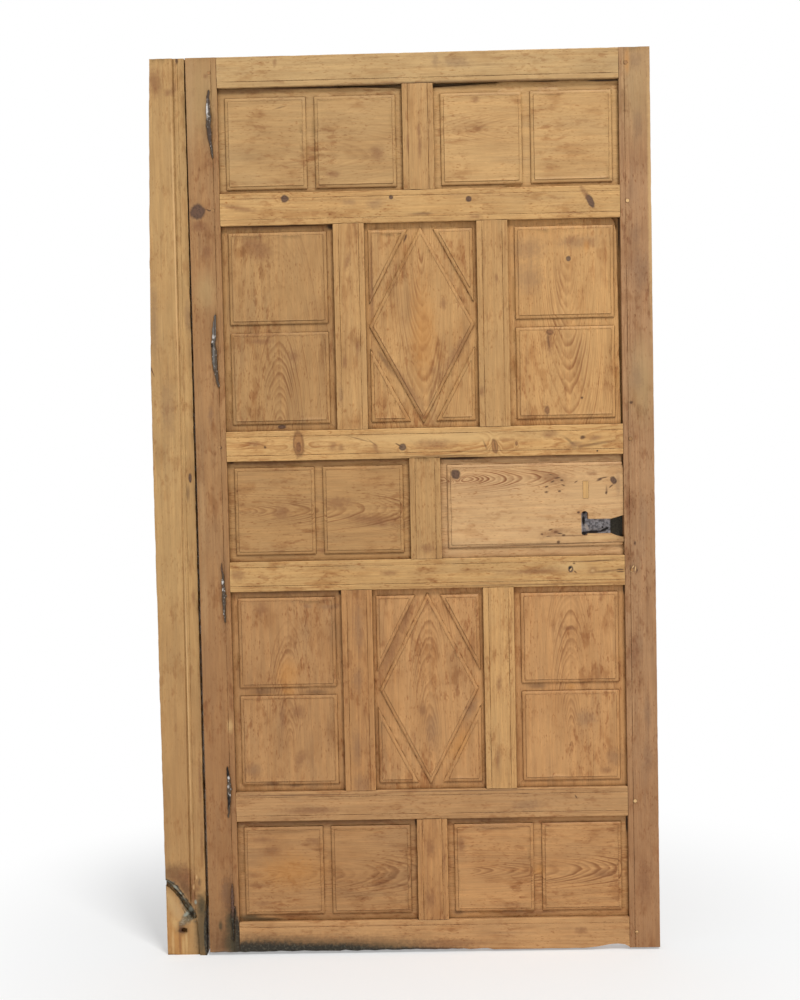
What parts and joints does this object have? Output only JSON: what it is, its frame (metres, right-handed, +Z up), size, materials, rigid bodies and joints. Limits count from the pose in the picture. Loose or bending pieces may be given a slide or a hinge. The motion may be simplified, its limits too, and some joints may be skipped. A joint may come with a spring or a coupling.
{
  "type": "panelled door",
  "caption": "Old pine door leaf with moulded and lozenge panels, swinging on linked cotter hinges from one jamb of its frame, with a cut-out for a lock.",
  "frame": {"origin": "middle of the jamb's foot, on the floor", "axes": "+X runs right across the front of the leaf, -Y is the front, +Z is up"},
  "size_m": [1.1705, 0.0724, 2.105],
  "materials": {
    "jamb_pine": "worn, thin wax",
    "frame_pine": "worn, thin wax",
    "panel_pine": "worn, thin wax",
    "pale_pine": "bare",
    "hinge_iron": "forged, rubbed",
    "lock_iron": "forged, dull"
  },
  "bodies": {
    "jamb": {"jamb": "jamb_pine", "jamb_cotter_1": "hinge_iron", "jamb_cotter_2": "hinge_iron", "jamb_cotter_3": "hinge_iron", "jamb_cotter_4": "hinge_iron", "jamb_cotter_5": "hinge_iron"},
    "leaf": {"hinge_stile": "frame_pine", "lock_stile": "frame_pine", "bottom_rail": "frame_pine", "fifth_rail": "frame_pine", "fourth_rail": "frame_pine", "third_rail": "frame_pine", "second_rail": "frame_pine", "top_rail": "frame_pine", "row1_muntin": "frame_pine", "row2_left_muntin": "frame_pine", "row2_right_muntin": "frame_pine", "row3_muntin": "frame_pine", "row4_left_muntin": "frame_pine", "row4_right_muntin": "frame_pine", "row5_muntin": "frame_pine", "row1_left_panel": "panel_pine", "row1_right_panel": "panel_pine", "row2_left_panel": "panel_pine", "row2_centre_panel": "panel_pine", "row2_right_panel": "panel_pine", "row3_left_panel": "panel_pine", "lock_panel": "panel_pine", "row4_left_panel": "panel_pine", "row4_centre_panel": "panel_pine", "row4_right_panel": "panel_pine", "row5_left_panel": "panel_pine", "row5_right_panel": "panel_pine", "tenon_pegs": "pale_pine", "slip_patch": "pale_pine", "lock_plate": "lock_iron", "lock_case": "lock_iron", "lock_nails": "lock_iron", "leaf_cotter_1": "hinge_iron", "leaf_cotter_2": "hinge_iron", "leaf_cotter_3": "hinge_iron", "leaf_cotter_4": "hinge_iron", "leaf_cotter_5": "hinge_iron"}
  },
  "joints": [
    {"name": "leaf_swing", "type": "hinge", "parent": "jamb", "child": "leaf", "pos_m": [0.05125, 0.014, 0], "axis": [0, 0, 1], "range_deg": [0, 110]}
  ]
}
